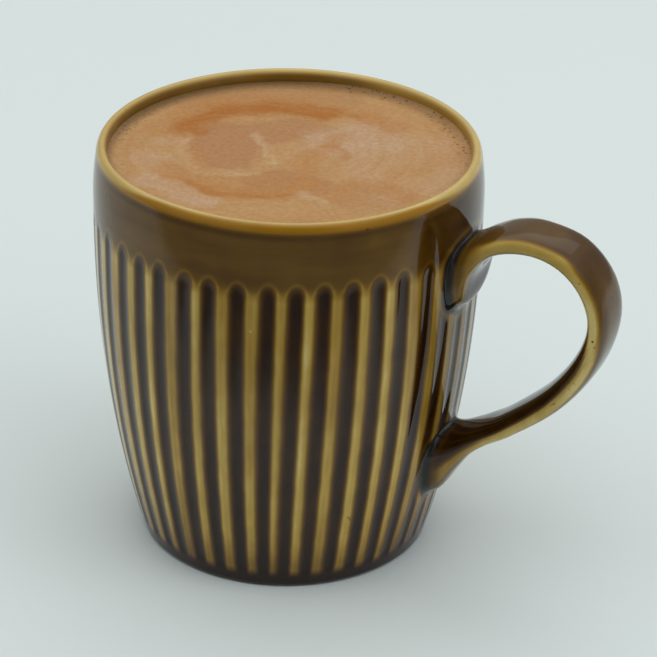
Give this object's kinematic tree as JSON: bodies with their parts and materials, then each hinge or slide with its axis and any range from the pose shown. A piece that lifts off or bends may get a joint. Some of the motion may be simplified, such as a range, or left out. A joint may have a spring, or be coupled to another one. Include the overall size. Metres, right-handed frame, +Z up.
{
  "type": "cup of espresso",
  "caption": "Fluted brown stoneware mug with a strap handle, filled with foamy espresso to just under its honey-coloured rim.",
  "frame": {"origin": "centre of the mug's flat foot, on the axis of its turned body", "axes": "+Z up along the mug's axis, +X towards the handle, -Z the way the foot faces"},
  "size_m": [0.115, 0.082, 0.0894],
  "materials": {
    "stoneware_glaze": "glossy dark brown glaze that breaks to honey and olive on the lip and the ribs, near black where it pools",
    "crema": "fine tan foam with orange and pinkish swirls, softly wet"
  },
  "bodies": {
    "root": {"mug": "stoneware_glaze", "espresso": "crema"}
  },
  "joints": []
}
